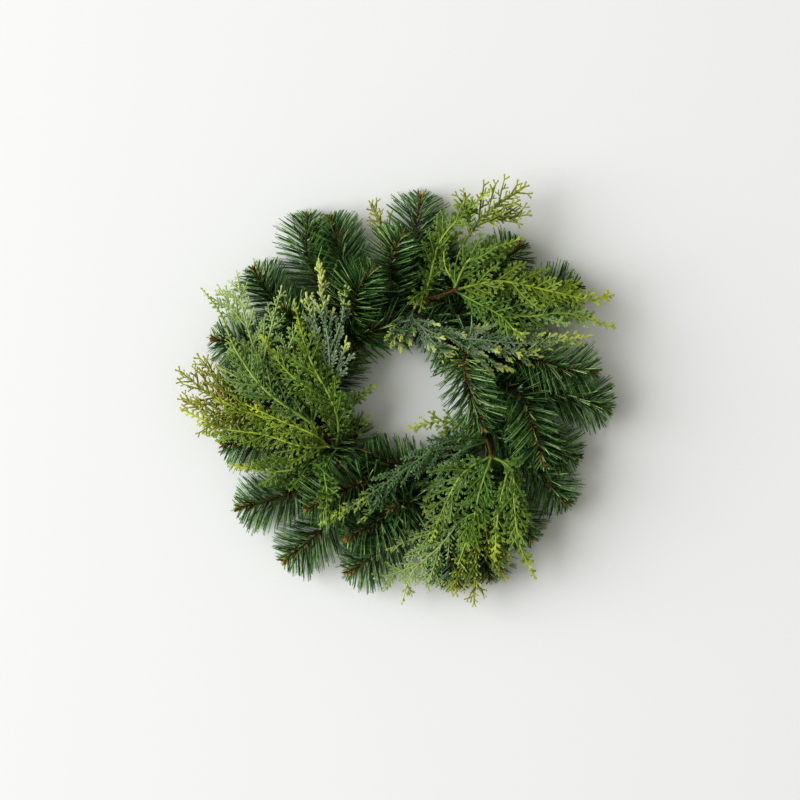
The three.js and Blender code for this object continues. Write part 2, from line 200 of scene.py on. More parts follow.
def brownFilm():
    # the same film in rust brown, for the strips along the wire and the bud
    material, add, _, cloud = newMaterial("slit PVC film, rust brown", 1.2, 2.0)
    shade = add("ShaderNodeAttribute", attribute_name="shade")["Fac"]
    brown = add("ShaderNodeValToRGB", {"Fac": shade}, stops=[
        (0.0, "#8a6034"), (0.5, "#cc9450"), (1.0, "#f0c888")])
    worn = add("ShaderNodeMapRange", {"Value": cloud, 1: 0.3, 2: 0.7, 3: 0.7, 4: 1.1})
    toned = add("ShaderNodeHueSaturation", {"Color": brown["Color"], "Value": worn})
    finishMaterial(add, cloud, 0.3, 0.1, {"Base Color": toned, "Roughness": 0.55, "IOR": 1.53})
    return material


def lacqueredWire():
    # drawn steel wire, dipped in dark green lacquer: a satin gloss, scuffed in spots
    material, add, _, scuffs = newMaterial("steel wire, green lacquer", 1.5, 4.0)
    green = add("ShaderNodeValToRGB", {"Fac": scuffs}, stops=[
        (0.35, "#1d2a1c"), (0.6, "#2c3f2a"), (0.75, "#4c5344")])
    rough = add("ShaderNodeMapRange", {"Value": scuffs, 3: 0.3, 4: 0.55})
    finishMaterial(add, scuffs, 0.2, 0.1, {"Base Color": green["Color"], "Roughness": rough, "IOR": 1.5})
    return material


def barkPlastic():
    # polyethylene, moulded round a wire with a bark grain: dull red brown, darker in the grain
    material, add, _, grain = newMaterial("moulded polyethylene, bark", 0.9, 4.0, 0.6)
    brown = add("ShaderNodeValToRGB", {"Fac": grain}, stops=[
        (0.3, "#36200f"), (0.5, "#6a4220"), (0.72, "#9e6c3e")])
    finishMaterial(add, grain, 0.6, 0.3, {"Base Color": brown["Color"], "Roughness": 0.62, "IOR": 1.51})
    return material


# Moulded fronds: the green of a frond's inside and outside, its ribs, the ends of its twigs and its
# youngest shoots, then how much the ends show, the age from which shoots do, and its pale bloom
lookParts = ("inner", "outer", "rib", "ends", "shoots", "ended", "shootsFrom", "bloom")
frondLooks = {kind: dict(zip(lookParts, look)) for kind, look in {
    "cypress": ("#4e6e1e", "#90aa3a", "#a0b246", "#b6cc78", "#b8c246", 0.55, 0.82, 0.05),
    "bright": ("#647c22", "#a2b63e", "#acba48", "#c0ce78", "#c0c646", 0.55, 0.8, 0.03),
    "sage": ("#5a7a34", "#98b05a", "#a2b44e", "#bece94", "#b8c246", 0.55, 0.84, 0.1),
    "sprig": ("#4a6e20", "#84a23a", "#92aa42", "#acc474", "#b0c04a", 0.55, 0.82, 0.05),
    "golden": ("#667426", "#909a38", "#808a30", "#e8d488", "#a8aa3e", 0.85, 0.8, 0.0),
    "green golden": ("#5e7422", "#8c9c36", "#7c8c2e", "#d8d064", "#aeb03e", 0.8, 0.8, 0.0),
    "green cedar": ("#4a6a3a", "#6e8c50", "#6c8854", "#b4c8a4", "#bccc50", 0.6, 0.7, 0.15),
    "cedar": ("#5e7650", "#829664", "#7e946c", "#dce2d0", "#c6ce66", 0.6, 0.68, 0.38),
    "fan": ("#809c56", "#acc078", "#a6b66e", "#ccd6a0", "#c6d088", 0.55, 0.8, 0.12),
}.items()}
frondGloss = {"roughness": 0.52, "IOR": 1.51, "specular": 0.45, "scaleMm": 0.9, "dust": "#b9c9bb",
              "shootsBlend": 0.18}


def frondPlastic(kind):
    # polyethylene, moulded in one piece with its scale leaves: soft satin, with light on every scale
    look = frondLooks[kind]
    material, add, place, cloud = newMaterial("moulded polyethylene, " + kind, 9, 2.0)
    young, along, ribbed = [add("ShaderNodeAttribute", attribute_name=name)["Fac"]
                            for name in ("young", "along", "ribbed")]
    drift = add("ShaderNodeMapRange", {"Value": cloud, 1: 0.3, 2: 0.7, 3: -0.12, 4: 0.12})
    aged = add("ShaderNodeMath", [young, drift], operation="ADD", use_clamp=True)
    turned = add("ShaderNodeMapRange", {"Value": aged, 1: 0.35, 2: 1.0})
    ended = add("ShaderNodeMapRange", {"Value": along, 1: 0.55, 2: 1.0, 3: 0.0, 4: look["ended"]})
    newest = add("ShaderNodeMapRange", {
        "Value": aged, 1: look["shootsFrom"], 2: look["shootsFrom"] + frondGloss["shootsBlend"]})
    fresh = add("ShaderNodeMapRange", {"Value": young, 1: 0.0, 2: 0.3, 3: 0.3, 4: 1.0})
    shown = add("ShaderNodeMath", [ribbed, fresh], operation="MULTIPLY")
    scales = add("ShaderNodeTexVoronoi", {"Vector": place, "Scale": 1 / (frondGloss["scaleMm"] * mm)})
    dust = add("ShaderNodeMapRange", {
        "Value": scales["Distance"], 1: 0.25, 2: 0.6, 3: look["bloom"], 4: 0.0})
    paint = colour(look["inner"])
    for share, hexCode in ((turned, look["outer"]), (ended, look["ends"]), (shown, look["rib"]),
                           (newest, look["shoots"]), (dust, frondGloss["dust"])):
        paint = add("ShaderNodeMix", {0: share, 6: paint, 7: colour(hexCode)}, data_type="RGBA")[2]
    finishMaterial(add, scales["Distance"], 0.5, 0.25, {
        "Base Color": paint, "Roughness": frondGloss["roughness"], "IOR": frondGloss["IOR"],
        "Specular IOR Level": frondGloss["specular"]}, invert=True)
    return material


def paintedWall():
    # emulsion on plaster, off white and flat, with the faint orange peel of a roller
    material, add, _, peel = newMaterial("matt emulsion, off white", 4, 3.0)
    finishMaterial(add, peel, 0.08, 0.2, {"Base Color": colour("#f3f3f4"), "Roughness": 0.9})
    return material


green, brown, wire, bark = needleFilm(), brownFilm(), lacqueredWire(), barkPlastic()
plastics = {kind: frondPlastic(kind) for kind in frondLooks}
print("materials made")


# Film strips on a wire: they stand round it in bunches, a golden angle apart, and lean towards its end,
# shorter and closer to the wire there. None goes below the floor or above the ceiling, and few reach
# into the hole.
stripVaries = {"shortest": 0.86, "longest": 1.04, "lean": 3 * degree, "turn": 4 * degree,
               "holeFrom": 0.66, "holeTo": 1.1, "blunt": 0.6}


def filmTree():
    tree, add, given, curve = newTree("film strips on a wire", (
        "Length", "Width", "Thickness", "Spacing", "Bare", "Lean", "Length at bud", "Growth", "Closing",
        "Fade", "Bend", "Bundle", "Floor", "Ceiling"), {
        "Hole": "Vector", "Hole size": "Vector", "Seed": "Int", "Film": "Material"})
    stations = add("GeometryNodeResampleCurve", {"Curve": curve, "Length": given["Spacing"]}, mode="LENGTH")
    along = add("GeometryNodeSplineParameter")
    whole = add("GeometryNodeSplineLength")
    tangent = add("GeometryNodeInputTangent")[0]
    normal = add("GeometryNodeInputNormal")[0]
    back = add("ShaderNodeMath", [whole, along["Length"]], operation="SUBTRACT")[0]
    chance = add("FunctionNodeRandomValue", {
        0: (0, 0, 0), 1: (1, 1, 1), "Seed": given["Seed"]}, data_type="FLOAT_VECTOR")
    draw = add("ShaderNodeSeparateXYZ", [chance])

    # length of a strip
    grows = add("ShaderNodeMath", [back, given["Growth"], given["Length at bud"]], operation="MULTIPLY_ADD")
    full = add("ShaderNodeMath", [grows, given["Length"]], operation="MINIMUM")
    varied = add("ShaderNodeMapRange", {
        "Value": draw[0], 3: stripVaries["shortest"], 4: stripVaries["longest"]})
    reach = add("ShaderNodeMath", [full, varied], operation="MULTIPLY")[0]

    # its lean and its turn about the wire
    faded = add("ShaderNodeMath", [back, given["Fade"]], operation="DIVIDE")
    under = add("ShaderNodeMath", [faded, -1.0], operation="MULTIPLY")
    near = add("ShaderNodeMath", [under], operation="EXPONENT")
    closing = add("ShaderNodeMath", [near, given["Closing"]], operation="MULTIPLY")
    strays = add("ShaderNodeMapRange", {"Value": draw[1], 3: -stripVaries["lean"], 4: stripVaries["lean"]})
    leant = add("ShaderNodeMath", [given["Lean"], closing], operation="SUBTRACT")
    lean = add("ShaderNodeMath", [leant, strays], operation="ADD")
    counted = add("ShaderNodeMath", [along["Index"], given["Bundle"]], operation="DIVIDE")
    bundle = add("ShaderNodeMath", [counted], operation="FLOOR")
    apart = add("ShaderNodeMapRange", {"Value": draw[2], 3: -stripVaries["turn"], 4: stripVaries["turn"]})
    roll = add("ShaderNodeMath", [bundle, goldenAngle, apart], operation="MULTIPLY_ADD")
    axis = add("ShaderNodeVectorRotate", {
        "Vector": normal, "Axis": tangent, "Angle": roll}, rotation_type="AXIS_ANGLE")
    aim = add("ShaderNodeVectorRotate", {
        "Vector": tangent, "Axis": axis, "Angle": lean}, rotation_type="AXIS_ANGLE")[0]

    # held between the floor and the ceiling, at its full length
    position = add("GeometryNodeInputPosition")[0]
    root = add("ShaderNodeSeparateXYZ", [position])
    aimed = add("ShaderNodeSeparateXYZ", [aim])
    drop = add("ShaderNodeMath", [given["Floor"], root[2]], operation="SUBTRACT")
    lowest = add("ShaderNodeMath", [drop, reach], operation="DIVIDE")
    climb = add("ShaderNodeMath", [given["Ceiling"], root[2]], operation="SUBTRACT")
    highest = add("ShaderNodeMath", [climb, reach], operation="DIVIDE")
    raised = add("ShaderNodeMath", [aimed[2], lowest], operation="MAXIMUM")
    held = add("ShaderNodeMath", [raised, highest], operation="MINIMUM")
    square = add("ShaderNodeMath", [held, held], operation="MULTIPLY")
    rest = add("ShaderNodeMath", [1.0, square], operation="SUBTRACT", use_clamp=True)
    level = add("ShaderNodeMath", [rest], operation="SQRT")
    flat = add("ShaderNodeVectorMath", [aim, (1, 1, 0)], operation="MULTIPLY")
    unit = add("ShaderNodeVectorMath", [flat], operation="NORMALIZE")
    across = add("ShaderNodeVectorMath", {0: unit, "Scale": level}, operation="SCALE")
    upwards = add("ShaderNodeCombineXYZ", {2: held})
    way = add("ShaderNodeVectorMath", [across, upwards], operation="ADD")[0]

    # out of the hole, and off the wire's bare foot
    end = add("ShaderNodeVectorMath", [way, reach, position], operation="MULTIPLY_ADD")
    inward = add("ShaderNodeVectorMath", [end, given["Hole"]], operation="SUBTRACT")
    shrunk = add("ShaderNodeVectorMath", [inward, given["Hole size"]], operation="DIVIDE")
    seen = add("ShaderNodeVectorMath", [shrunk, (1, 1, 0)], operation="MULTIPLY")
    away = add("ShaderNodeVectorMath", [seen], operation="LENGTH")["Value"]
    loose = add("ShaderNodeMapRange", {
        "Value": draw[1], 3: stripVaries["holeFrom"], 4: stripVaries["holeTo"]})
    outside = add("FunctionNodeCompare", [away, loose], operation="GREATER_THAN")
    clad = add("FunctionNodeCompare", [along["Length"], given["Bare"]], operation="GREATER_THAN")
    shown = add("FunctionNodeBooleanMath", [outside, clad], operation="AND")

    # one strip, a slit of film bent a little, blunt at its end
    line = add("GeometryNodeCurvePrimitiveLine", {"End": (0, 0, 1)})
    rungs = add("GeometryNodeResampleCurve", {"Curve": line, "Count": 3}, mode="COUNT")
    rung = add("GeometryNodeSplineParameter")
    marked = add("GeometryNodeStoreNamedAttribute", {
        "Geometry": rungs, "Name": "along", "Value": rung["Factor"]})
    curved = add("ShaderNodeMath", [rung["Factor"], 2.0], operation="POWER")
    bent = add("ShaderNodeMath", [curved, given["Bend"]], operation="MULTIPLY")
    sideways = add("ShaderNodeCombineXYZ", [bent])
    strip = add("GeometryNodeSetPosition", {"Geometry": marked, "Offset": sideways})
    section = add("GeometryNodeCurvePrimitiveQuadrilateral", {
        "Width": given["Width"], "Height": given["Thickness"]})
    narrow = add("ShaderNodeMapRange", {
        "Value": rung["Factor"], 1: 0.5, 2: 1.0, 3: 1.0, 4: stripVaries["blunt"]})
    film = add("GeometryNodeCurveToMesh", {
        "Curve": strip, "Profile Curve": section, "Scale": narrow, "Fill Caps": True})

    # set on the wire
    upright = add("FunctionNodeAlignRotationToVector", {"Vector": way}, axis="Z")
    spin = add("FunctionNodeAxisAngleToRotation", {"Axis": (0, 0, 1), "Angle": roll})
    turned = add("FunctionNodeRotateRotation", {
        "Rotation": upright, "Rotate By": spin}, rotation_space="LOCAL")
    size = add("ShaderNodeCombineXYZ", [1.0, 1.0, reach])
    strips = add("GeometryNodeInstanceOnPoints", {
        "Points": stations, "Selection": shown, "Instance": film, "Rotation": turned, "Scale": size})
    tone = add("FunctionNodeRandomValue", {2: 0.0, 3: 1.0, "Seed": given["Seed"]}, data_type="FLOAT")
    toned = add("GeometryNodeStoreNamedAttribute", {
        "Geometry": strips, "Name": "shade", "Value": tone[1]}, domain="INSTANCE")
    real = add("GeometryNodeRealizeInstances", {"Geometry": toned})
    return finishTree(tree, add, real, given["Film"])


# Two strands of wire, laid round each other along a path
def twistTree():
    tree, add, given, curve = newTree("twisted wire", ("Strand", "Pitch", "Step"), {"Wire": "Material"})
    stations = add("GeometryNodeResampleCurve", {"Curve": curve, "Length": given["Step"]}, mode="LENGTH")
    pair = add("GeometryNodeDuplicateElements", {"Geometry": stations, "Amount": 2}, domain="SPLINE")
    along = add("GeometryNodeSplineParameter")
    turns = add("ShaderNodeMath", [along["Length"], given["Pitch"]], operation="DIVIDE")
    half = add("ShaderNodeMath", [pair["Duplicate Index"], 0.5, turns], operation="MULTIPLY_ADD")
    angle = add("ShaderNodeMath", [half, 2 * math.pi], operation="MULTIPLY")
    tangent = add("GeometryNodeInputTangent")
    normal = add("GeometryNodeInputNormal")
    outwards = add("ShaderNodeVectorRotate", {
        "Vector": normal, "Axis": tangent, "Angle": angle}, rotation_type="AXIS_ANGLE")
    offset = add("ShaderNodeVectorMath", {0: outwards, "Scale": given["Strand"]}, operation="SCALE")
    laid = add("GeometryNodeSetPosition", {"Geometry": pair[0], "Offset": offset})
    section = add("GeometryNodeCurvePrimitiveCircle", {"Resolution": 5, "Radius": given["Strand"]})
    solid = add("GeometryNodeCurveToMesh", {"Curve": laid, "Profile Curve": section, "Fill Caps": True})
    smooth = add("GeometryNodeSetShadeSmooth", {"Geometry": solid})
    return finishTree(tree, add, smooth, given["Wire"])


# A round rod along a path, with knots and a grain that stand out of it
def rodTree():
    tree, add, given, curve = newTree("rod", ("Radius", "End radius", "Step", "Knots", "Grain"), {
        "Sides": "Int", "Surface": "Material"})
    stations = add("GeometryNodeResampleCurve", {"Curve": curve, "Length": given["Step"]}, mode="LENGTH")
    along = add("GeometryNodeSplineParameter")
    tapered = add("ShaderNodeMapRange", {
        "Value": along["Factor"], 3: given["Radius"], 4: given["End radius"]})
    swell = add("ShaderNodeTexNoise", {"Scale": 1 / (6 * mm), "Detail": 0.0})
    knot = add("ShaderNodeMapRange", {"Value": swell["Fac"], 1: 0.3, 2: 0.7, 3: 0.0, 4: given["Knots"]})
    thick = add("ShaderNodeMath", [tapered, knot], operation="ADD")
    section = add("GeometryNodeCurvePrimitiveCircle", {"Resolution": given["Sides"], "Radius": 1.0})
    solid = add("GeometryNodeCurveToMesh", {
        "Curve": stations, "Profile Curve": section, "Scale": thick, "Fill Caps": True})
    grain = add("ShaderNodeTexNoise", {"Scale": 1 / (1.2 * mm), "Detail": 2.0})
    depth = add("ShaderNodeMath", [grain["Fac"], 0.5], operation="SUBTRACT")
    carved = add("ShaderNodeMath", [depth, given["Grain"]], operation="MULTIPLY")
    normal = add("GeometryNodeInputNormal")
    offset = add("ShaderNodeVectorMath", {0: normal, "Scale": carved}, operation="SCALE")
    rough = add("GeometryNodeSetPosition", {"Geometry": solid, "Offset": offset})
    smooth = add("GeometryNodeSetShadeSmooth", {"Geometry": rough})
    return finishTree(tree, add, smooth, given["Surface"])


# A moulded frond: side branches stand alternately along a rib, longest at its peak, and both carry
# scale twigs on either side and one at their end
frondVaries = {"shortest": 0.6, "longest": 1.15, "turn": 0.45, "present": 0.88, "thinnest": 0.85,
               "thickest": 1.15, "twigTurn": 0.5, "smallest": 0.68, "largest": 1.2}
frondGrowth = {"lengthAtFoot": 0.55, "lengthGain": 0.9, "lengthLeast": 0.15, "branchRibbed": 0.35,
               "branchTilt": 2.6, "twigsFrom": 0.3, "twigsTo": 0.9}


def frondTree():
    tree, add, given, curve = newTree("moulded frond", (
        "Rib", "Rib end", "Rib step", "Branch spacing", "Branch length", "Branch radius", "Shortest", "From",
        "Peak", "Until", "Angle", "Curl", "Droop", "Ruffle", "Twig spacing", "Twig angle", "Twig size",
        "Twig growth", "Tilt", "Own age", "Ceiling"), {
        "Twig": "Object", "Seed": "Int", "Plastic": "Material"})
    along = add("GeometryNodeSplineParameter")
    tangent = add("GeometryNodeInputTangent")[0]
    level = add("ShaderNodeVectorMath", [(0, 0, 1), tangent], operation="CROSS_PRODUCT")
    face = add("ShaderNodeVectorMath", [tangent, level], operation="CROSS_PRODUCT")
    above = add("ShaderNodeVectorMath", [face], operation="NORMALIZE")[0]
    parity = add("ShaderNodeMath", [along["Index"], 2.0], operation="MODULO")
    side = add("ShaderNodeMapRange", {"Value": parity, 3: -1.0, 4: 1.0})[0]
    chance = add("FunctionNodeRandomValue", {
        0: (-0.5, -0.5, -0.5), 1: (0.5, 0.5, 0.5), "Seed": given["Seed"]}, data_type="FLOAT_VECTOR")
    draw = add("ShaderNodeSeparateXYZ", [chance])

    # the rib
    rib = add("GeometryNodeResampleCurve", {"Curve": curve, "Length": given["Rib step"]}, mode="LENGTH")
    ribWidth = add("ShaderNodeMapRange", {"Value": along["Factor"], 3: given["Rib"], 4: given["Rib end"]})
    for name, value in (("reach", along["Factor"]), ("young", along["Factor"]), ("thick", ribWidth),
                        ("ribbed", 1.0)):
        rib = add("GeometryNodeStoreNamedAttribute", {"Geometry": rib, "Name": name, "Value": value})

    # where side branches stand, and how long each is
    stations = add("GeometryNodeResampleCurve", {
        "Curve": curve, "Length": given["Branch spacing"]}, mode="LENGTH")
    marked = add("GeometryNodeStoreNamedAttribute", {
        "Geometry": stations, "Name": "reach", "Value": along["Factor"]})
    climbing = add("ShaderNodeMapRange", {
        "Value": along["Factor"], 1: given["From"], 2: given["Peak"], 3: frondGrowth["lengthAtFoot"],
        4: 1.0})
    falling = add("ShaderNodeMapRange", {
        "Value": along["Factor"], 1: given["Peak"], 2: given["Until"], 3: 1.0, 4: 0.0})
    lower = add("ShaderNodeMath", [climbing, falling], operation="MINIMUM")
    share = add("ShaderNodeMath", [
        lower, frondGrowth["lengthGain"], frondGrowth["lengthLeast"]], operation="MULTIPLY_ADD")
    limited = add("ShaderNodeMath", [share, 1.0], operation="MINIMUM")
    varied = add("ShaderNodeMapRange", {
        "Value": draw[0], 1: -0.5, 2: 0.5, 3: frondVaries["shortest"], 4: frondVaries["longest"]})
    spread = add("ShaderNodeMath", [limited, varied], operation="MULTIPLY")
    wanted = add("ShaderNodeMath", [spread, given["Branch length"]], operation="MULTIPLY")
    length = add("ShaderNodeMath", [wanted, given["Shortest"]], operation="MAXIMUM")
    turn = add("ShaderNodeMath", [draw[1], frondVaries["turn"], given["Angle"]], operation="MULTIPLY_ADD")
    signed = add("ShaderNodeMath", [turn, side], operation="MULTIPLY")
    flatWay = add("ShaderNodeVectorRotate", {
        "Vector": tangent, "Axis": above, "Angle": signed}, rotation_type="AXIS_ANGLE")
    lifted = add("ShaderNodeMath", [draw[2], given["Ruffle"]], operation="MULTIPLY")
    lift = add("ShaderNodeVectorMath", {0: above, "Scale": lifted}, operation="SCALE")
    way = add("ShaderNodeVectorMath", [flatWay, lift], operation="ADD")
    second = add("ShaderNodeVectorMath", {0: above, "Scale": side}, operation="SCALE")
    stance = add("FunctionNodeAxesToRotation", {
        "Primary Axis": way, "Secondary Axis": second}, primary_axis="Z", secondary_axis="X")
    clad = add("FunctionNodeCompare", [along["Factor"], given["From"]], operation="GREATER_THAN")
    short = add("FunctionNodeCompare", [along["Factor"], given["Until"]], operation="LESS_THAN")
    reached = add("FunctionNodeBooleanMath", [clad, short], operation="AND")
    present = add("FunctionNodeRandomValue", {
        "Probability": frondVaries["present"], "Seed": given["Seed"]}, data_type="BOOLEAN")
    stands = add("FunctionNodeBooleanMath", [reached, present[3]], operation="AND")

    # one branch, one unit long, curling towards the rib's tip
    line = add("GeometryNodeCurvePrimitiveLine", {"End": (0, 0, 1)})
    rungs = add("GeometryNodeResampleCurve", {"Curve": line, "Count": 9}, mode="COUNT")
    bow = add("ShaderNodeMath", [along["Factor"], 2.0], operation="POWER")
    curling = add("ShaderNodeMath", [bow, given["Curl"]], operation="MULTIPLY")
    curl = add("ShaderNodeCombineXYZ", {1: curling})
    branch = add("GeometryNodeSetPosition", {"Geometry": rungs, "Offset": curl})
    branches = add("GeometryNodeInstanceOnPoints", {
        "Points": marked, "Selection": stands, "Instance": branch, "Rotation": stance, "Scale": length})
    real = add("GeometryNodeRealizeInstances", {"Geometry": branches})
    sag = add("ShaderNodeMath", [along["Length"], given["Droop"]], operation="MULTIPLY")
    sagging = add("ShaderNodeMath", [sag, -1.0], operation="MULTIPLY")
    downwards = add("ShaderNodeCombineXYZ", {2: sagging})
    hung = add("GeometryNodeSetPosition", {"Geometry": real, "Offset": downwards})
    steps = add("GeometryNodeResampleCurve", {"Curve": hung, "Length": given["Twig spacing"]}, mode="LENGTH")
    reach = add("GeometryNodeInputNamedAttribute", {"Name": "reach"})[0]
    age = add("ShaderNodeMix", {0: given["Own age"], 2: reach, 3: along["Factor"]})
    branchWidth = add("ShaderNodeMapRange", {
        "Value": along["Factor"], 3: given["Branch radius"], 4: given["Rib end"]})
    for name, value in (("young", age), ("thick", branchWidth), ("ribbed", frondGrowth["branchRibbed"])):
        steps = add("GeometryNodeStoreNamedAttribute", {"Geometry": steps, "Name": name, "Value": value})
    both = add("GeometryNodeJoinGeometry")
    tree.links.new(rib[0], both[0].node.inputs[0])
    tree.links.new(steps[0], both[0].node.inputs[0])

    # ribs and branches as rods
    even = add("GeometryNodeInputNamedAttribute", {"Name": "thick"})[0]
    swollen = add("ShaderNodeMapRange", {
        "Value": draw[2], 1: -0.5, 2: 0.5, 3: frondVaries["thinnest"], 4: frondVaries["thickest"]})
    thick = add("ShaderNodeMath", [even, swollen], operation="MULTIPLY")[0]
    section = add("GeometryNodeCurvePrimitiveCircle", {"Resolution": 5, "Radius": 1.0})
    rods = add("GeometryNodeCurveToMesh", {
        "Curve": both[0], "Profile Curve": section, "Scale": thick, "Fill Caps": True})
    smooth = add("GeometryNodeSetShadeSmooth", {"Geometry": rods})

    # scale twigs
    last = add("GeometryNodeCurveEndpointSelection", {"Start Size": 0, "End Size": 1})[0]
    straight = add("ShaderNodeMath", [1.0, last], operation="SUBTRACT")
    fork = add("ShaderNodeMath", [
        draw[0], frondVaries["twigTurn"], given["Twig angle"]], operation="MULTIPLY_ADD")
    forkSide = add("ShaderNodeMath", [fork, side], operation="MULTIPLY")
    forkTurn = add("ShaderNodeMath", [forkSide, straight], operation="MULTIPLY")
    twigFlat = add("ShaderNodeVectorRotate", {
        "Vector": tangent, "Axis": above, "Angle": forkTurn}, rotation_type="AXIS_ANGLE")
    ribbed = add("GeometryNodeInputNamedAttribute", {"Name": "ribbed"})[0]
    freely = add("ShaderNodeMapRange", {
        "Value": ribbed, 1: frondGrowth["branchRibbed"], 2: 1.0, 3: 1.0, 4: frondGrowth["branchTilt"]})
    rolling = add("ShaderNodeMath", [draw[1], given["Tilt"]], operation="MULTIPLY")
    tilt = add("ShaderNodeMath", [rolling, freely], operation="MULTIPLY")
    twigWay = add("ShaderNodeVectorRotate", {
        "Vector": twigFlat, "Axis": tangent, "Angle": tilt}, rotation_type="AXIS_ANGLE")
    twigStance = add("FunctionNodeAxesToRotation", {
        "Primary Axis": twigWay, "Secondary Axis": second}, primary_axis="Z", secondary_axis="X")
    shrinking = add("ShaderNodeMapRange", {
        "Value": along["Factor"], 1: frondGrowth["twigsFrom"], 2: frondGrowth["twigsTo"], 3: 1.0,
        4: given["Twig growth"]})
    uneven = add("ShaderNodeMapRange", {
        "Value": draw[2], 1: -0.5, 2: 0.5, 3: frondVaries["smallest"], 4: frondVaries["largest"]})
    twigScale = add("ShaderNodeMath", [shrinking, uneven], operation="MULTIPLY")
    twigSize = add("ShaderNodeMath", [twigScale, given["Twig size"]], operation="MULTIPLY")
    rooted = add("FunctionNodeCompare", [along["Index"], 0.5], operation="GREATER_THAN")
    leafy = add("FunctionNodeCompare", [reach, given["From"]], operation="GREATER_THAN")
    placed = add("FunctionNodeBooleanMath", [rooted, leafy], operation="AND")
    template = add("GeometryNodeObjectInfo", {"Object": given["Twig"]})
    twigs = add("GeometryNodeInstanceOnPoints", {
        "Points": both[0], "Selection": placed, "Instance": template["Geometry"], "Rotation": twigStance,
        "Scale": twigSize})
    realTwigs = add("GeometryNodeRealizeInstances", {"Geometry": twigs})
    plain = add("GeometryNodeStoreNamedAttribute", {"Geometry": realTwigs, "Name": "ribbed", "Value": 0.0})
    frond = add("GeometryNodeJoinGeometry")
    tree.links.new(smooth[0], frond[0].node.inputs[0])
    tree.links.new(plain[0], frond[0].node.inputs[0])
    spot = add("ShaderNodeSeparateXYZ", [add("GeometryNodeInputPosition")[0]])
    lowered = add("ShaderNodeMath", [spot[2], given["Ceiling"]], operation="MINIMUM")
    allowed = add("ShaderNodeCombineXYZ", [spot[0], spot[1], lowered])
    capped = add("GeometryNodeSetPosition", {"Geometry": frond[0], "Position": allowed})
    return finishTree(tree, add, capped, given["Plastic"])


films, twists, rods, moulded = filmTree(), twistTree(), rodTree(), frondTree()
print("node trees made")

# The ring, with the tips' wires wound round it, so that it is held off the surface by their thickness
ring = {"radius": 70 * mm, "wire": 1.1 * mm, "points": 96, "sides": 10}
pair = {"Strand": 0.42 * mm, "Pitch": 4.2 * mm, "Step": 0.9 * mm, "Wire": wire}
pairRadius = 2 * pair["Strand"]
ring["height"] = 2 * pairRadius + ring["wire"]


def ringPoint(angle, roll=0, off=0):  # roll runs from outside the ring over its top
    outwards = Vector((math.cos(angle), math.sin(angle), 0))
    away = ring["radius"] + off * math.cos(roll)
    return ringCentre + outwards * away + up * (ring["height"] + off * math.sin(roll))


circle = [ringPoint(2 * math.pi * i / ring["points"]) for i in range(ring["points"])]
finishPiece("ring_hoop", [grown(rods, circle, {
    "Radius": ring["wire"], "End radius": ring["wire"], "Sides": ring["sides"], "Step": 2.5 * mm,
    "Knots": 0.0, "Grain": 0.0, "Surface": wire}, closed=True)], "wire_ring")

# Fir tips: the angle of the root on the ring, then the points that the wire passes, in millimetres
# from the ring's middle
outerTips = [
    [86, (8, 129, 13), (13, 161, 15)],
    [58, (68, 97, 13), (93, 121, 16)],
    [42, (100, 75, 12), (138, 89, 16)],
    [6, (120, 3, 12), (163, -9, 15)],
    [-14, (105, -36, 12), (137, -50, 16)],
    [-24, (101, -54, 11), (130, -86, 16)],
    [-47, (75, -82, 12), (102, -114, 16)],
    [-58, (58, -110, 12), (68, -146, 15)],
    [-68, (34, -112, 13), (42, -152, 16)],
    [-88, (-8, -107, 12), (-29, -132, 13), (-46, -142, 15)],
    [-118, (-66, -107, 12), (-97, -132, 15)],
    [-138, (-94, -79, 12), (-133.5, -90, 15)],
    [-163, (-115, -34, 12), (-146, -39, 15)],
    [170, (-112, 36, 12), (-154, 46, 15)],
    [154, (-104, 74, 12), (-122, 102, 16)],
    [128, (-78, 112, 12), (-78, 145, 15)],
    [118, (-50, 110, 16), (-60, 143, 17)],
]
frontTips = [
    [135, (-42, 71, 27), (-38, 83, 34), (-25, 101, 40)],
    [147.5, (-82, 56, 24), (-97, 70, 32)],
    [97, (-10, 95, 20), (-10, 112, 30), (-1, 130, 36)],
    [27, (90, 34, 20), (118, 25, 28), (151, 18, 30)],
    [36, (52, 40, 20), (47, 25, 31), (50, 9, 37), (62, -26, 40)],
    [11, (92, 2, 24), (103, -27, 34), (110, -53, 38)],
    [-106, (-34, -70, 22), (-50, -76, 30), (-78, -90, 34)],
    [-93, (-18, -97, 20), (-46, -114, 30)],
    [-83, (8, -78, 9), (6, -84, 22), (-2, -87, 33), (-12, -90, 38)],
]
innerTips = [
    [141, (-32, 50, 13), (-12, 56, 15), (4, 53, 17)],
    [75, (34, 46, 12), (46, 27, 15)],
    [-72, (-2, -57, 12), (-18, -53, 14), (-31, -45, 17)],
    [176, (-55, 20, 12), (-42, 37, 16)],
]
shoots = {  # side shoots, twisted into the wire of a tip
    "fir_tip_outer_1": [[(10, 84, 12), (22, 100, 15), (34, 124, 17)]],
    "fir_tip_outer_2": [[(48, 74, 12), (40, 88, 14), (42, 112, 16)],
                        [(46, 72, 12), (34, 76, 13), (20, 76, 14)]],
    "fir_tip_outer_7": [[(50, -53, 11), (38, -44, 15), (31, -35, 18)]],
    "fir_tip_outer_12": [[(-53, -47, 11), (-43, -36, 15), (-40, -23, 17)]],
    "fir_tip_outer_13": [[(-70, -22, 11), (-64, -40, 16), (-54, -54, 19)],
                         [(-84, -25, 12), (-106, -14, 15), (-128, -14, 17)]],
    "fir_tip_outer_14": [[(-92, 26, 11), (-120, 12, 14), (-148, 4, 16)]],
}
hole = {"Hole": ringCentre + Vector((-4, 2, 0)) * mm, "Hole size": Vector((27, 34, 1)) * mm}
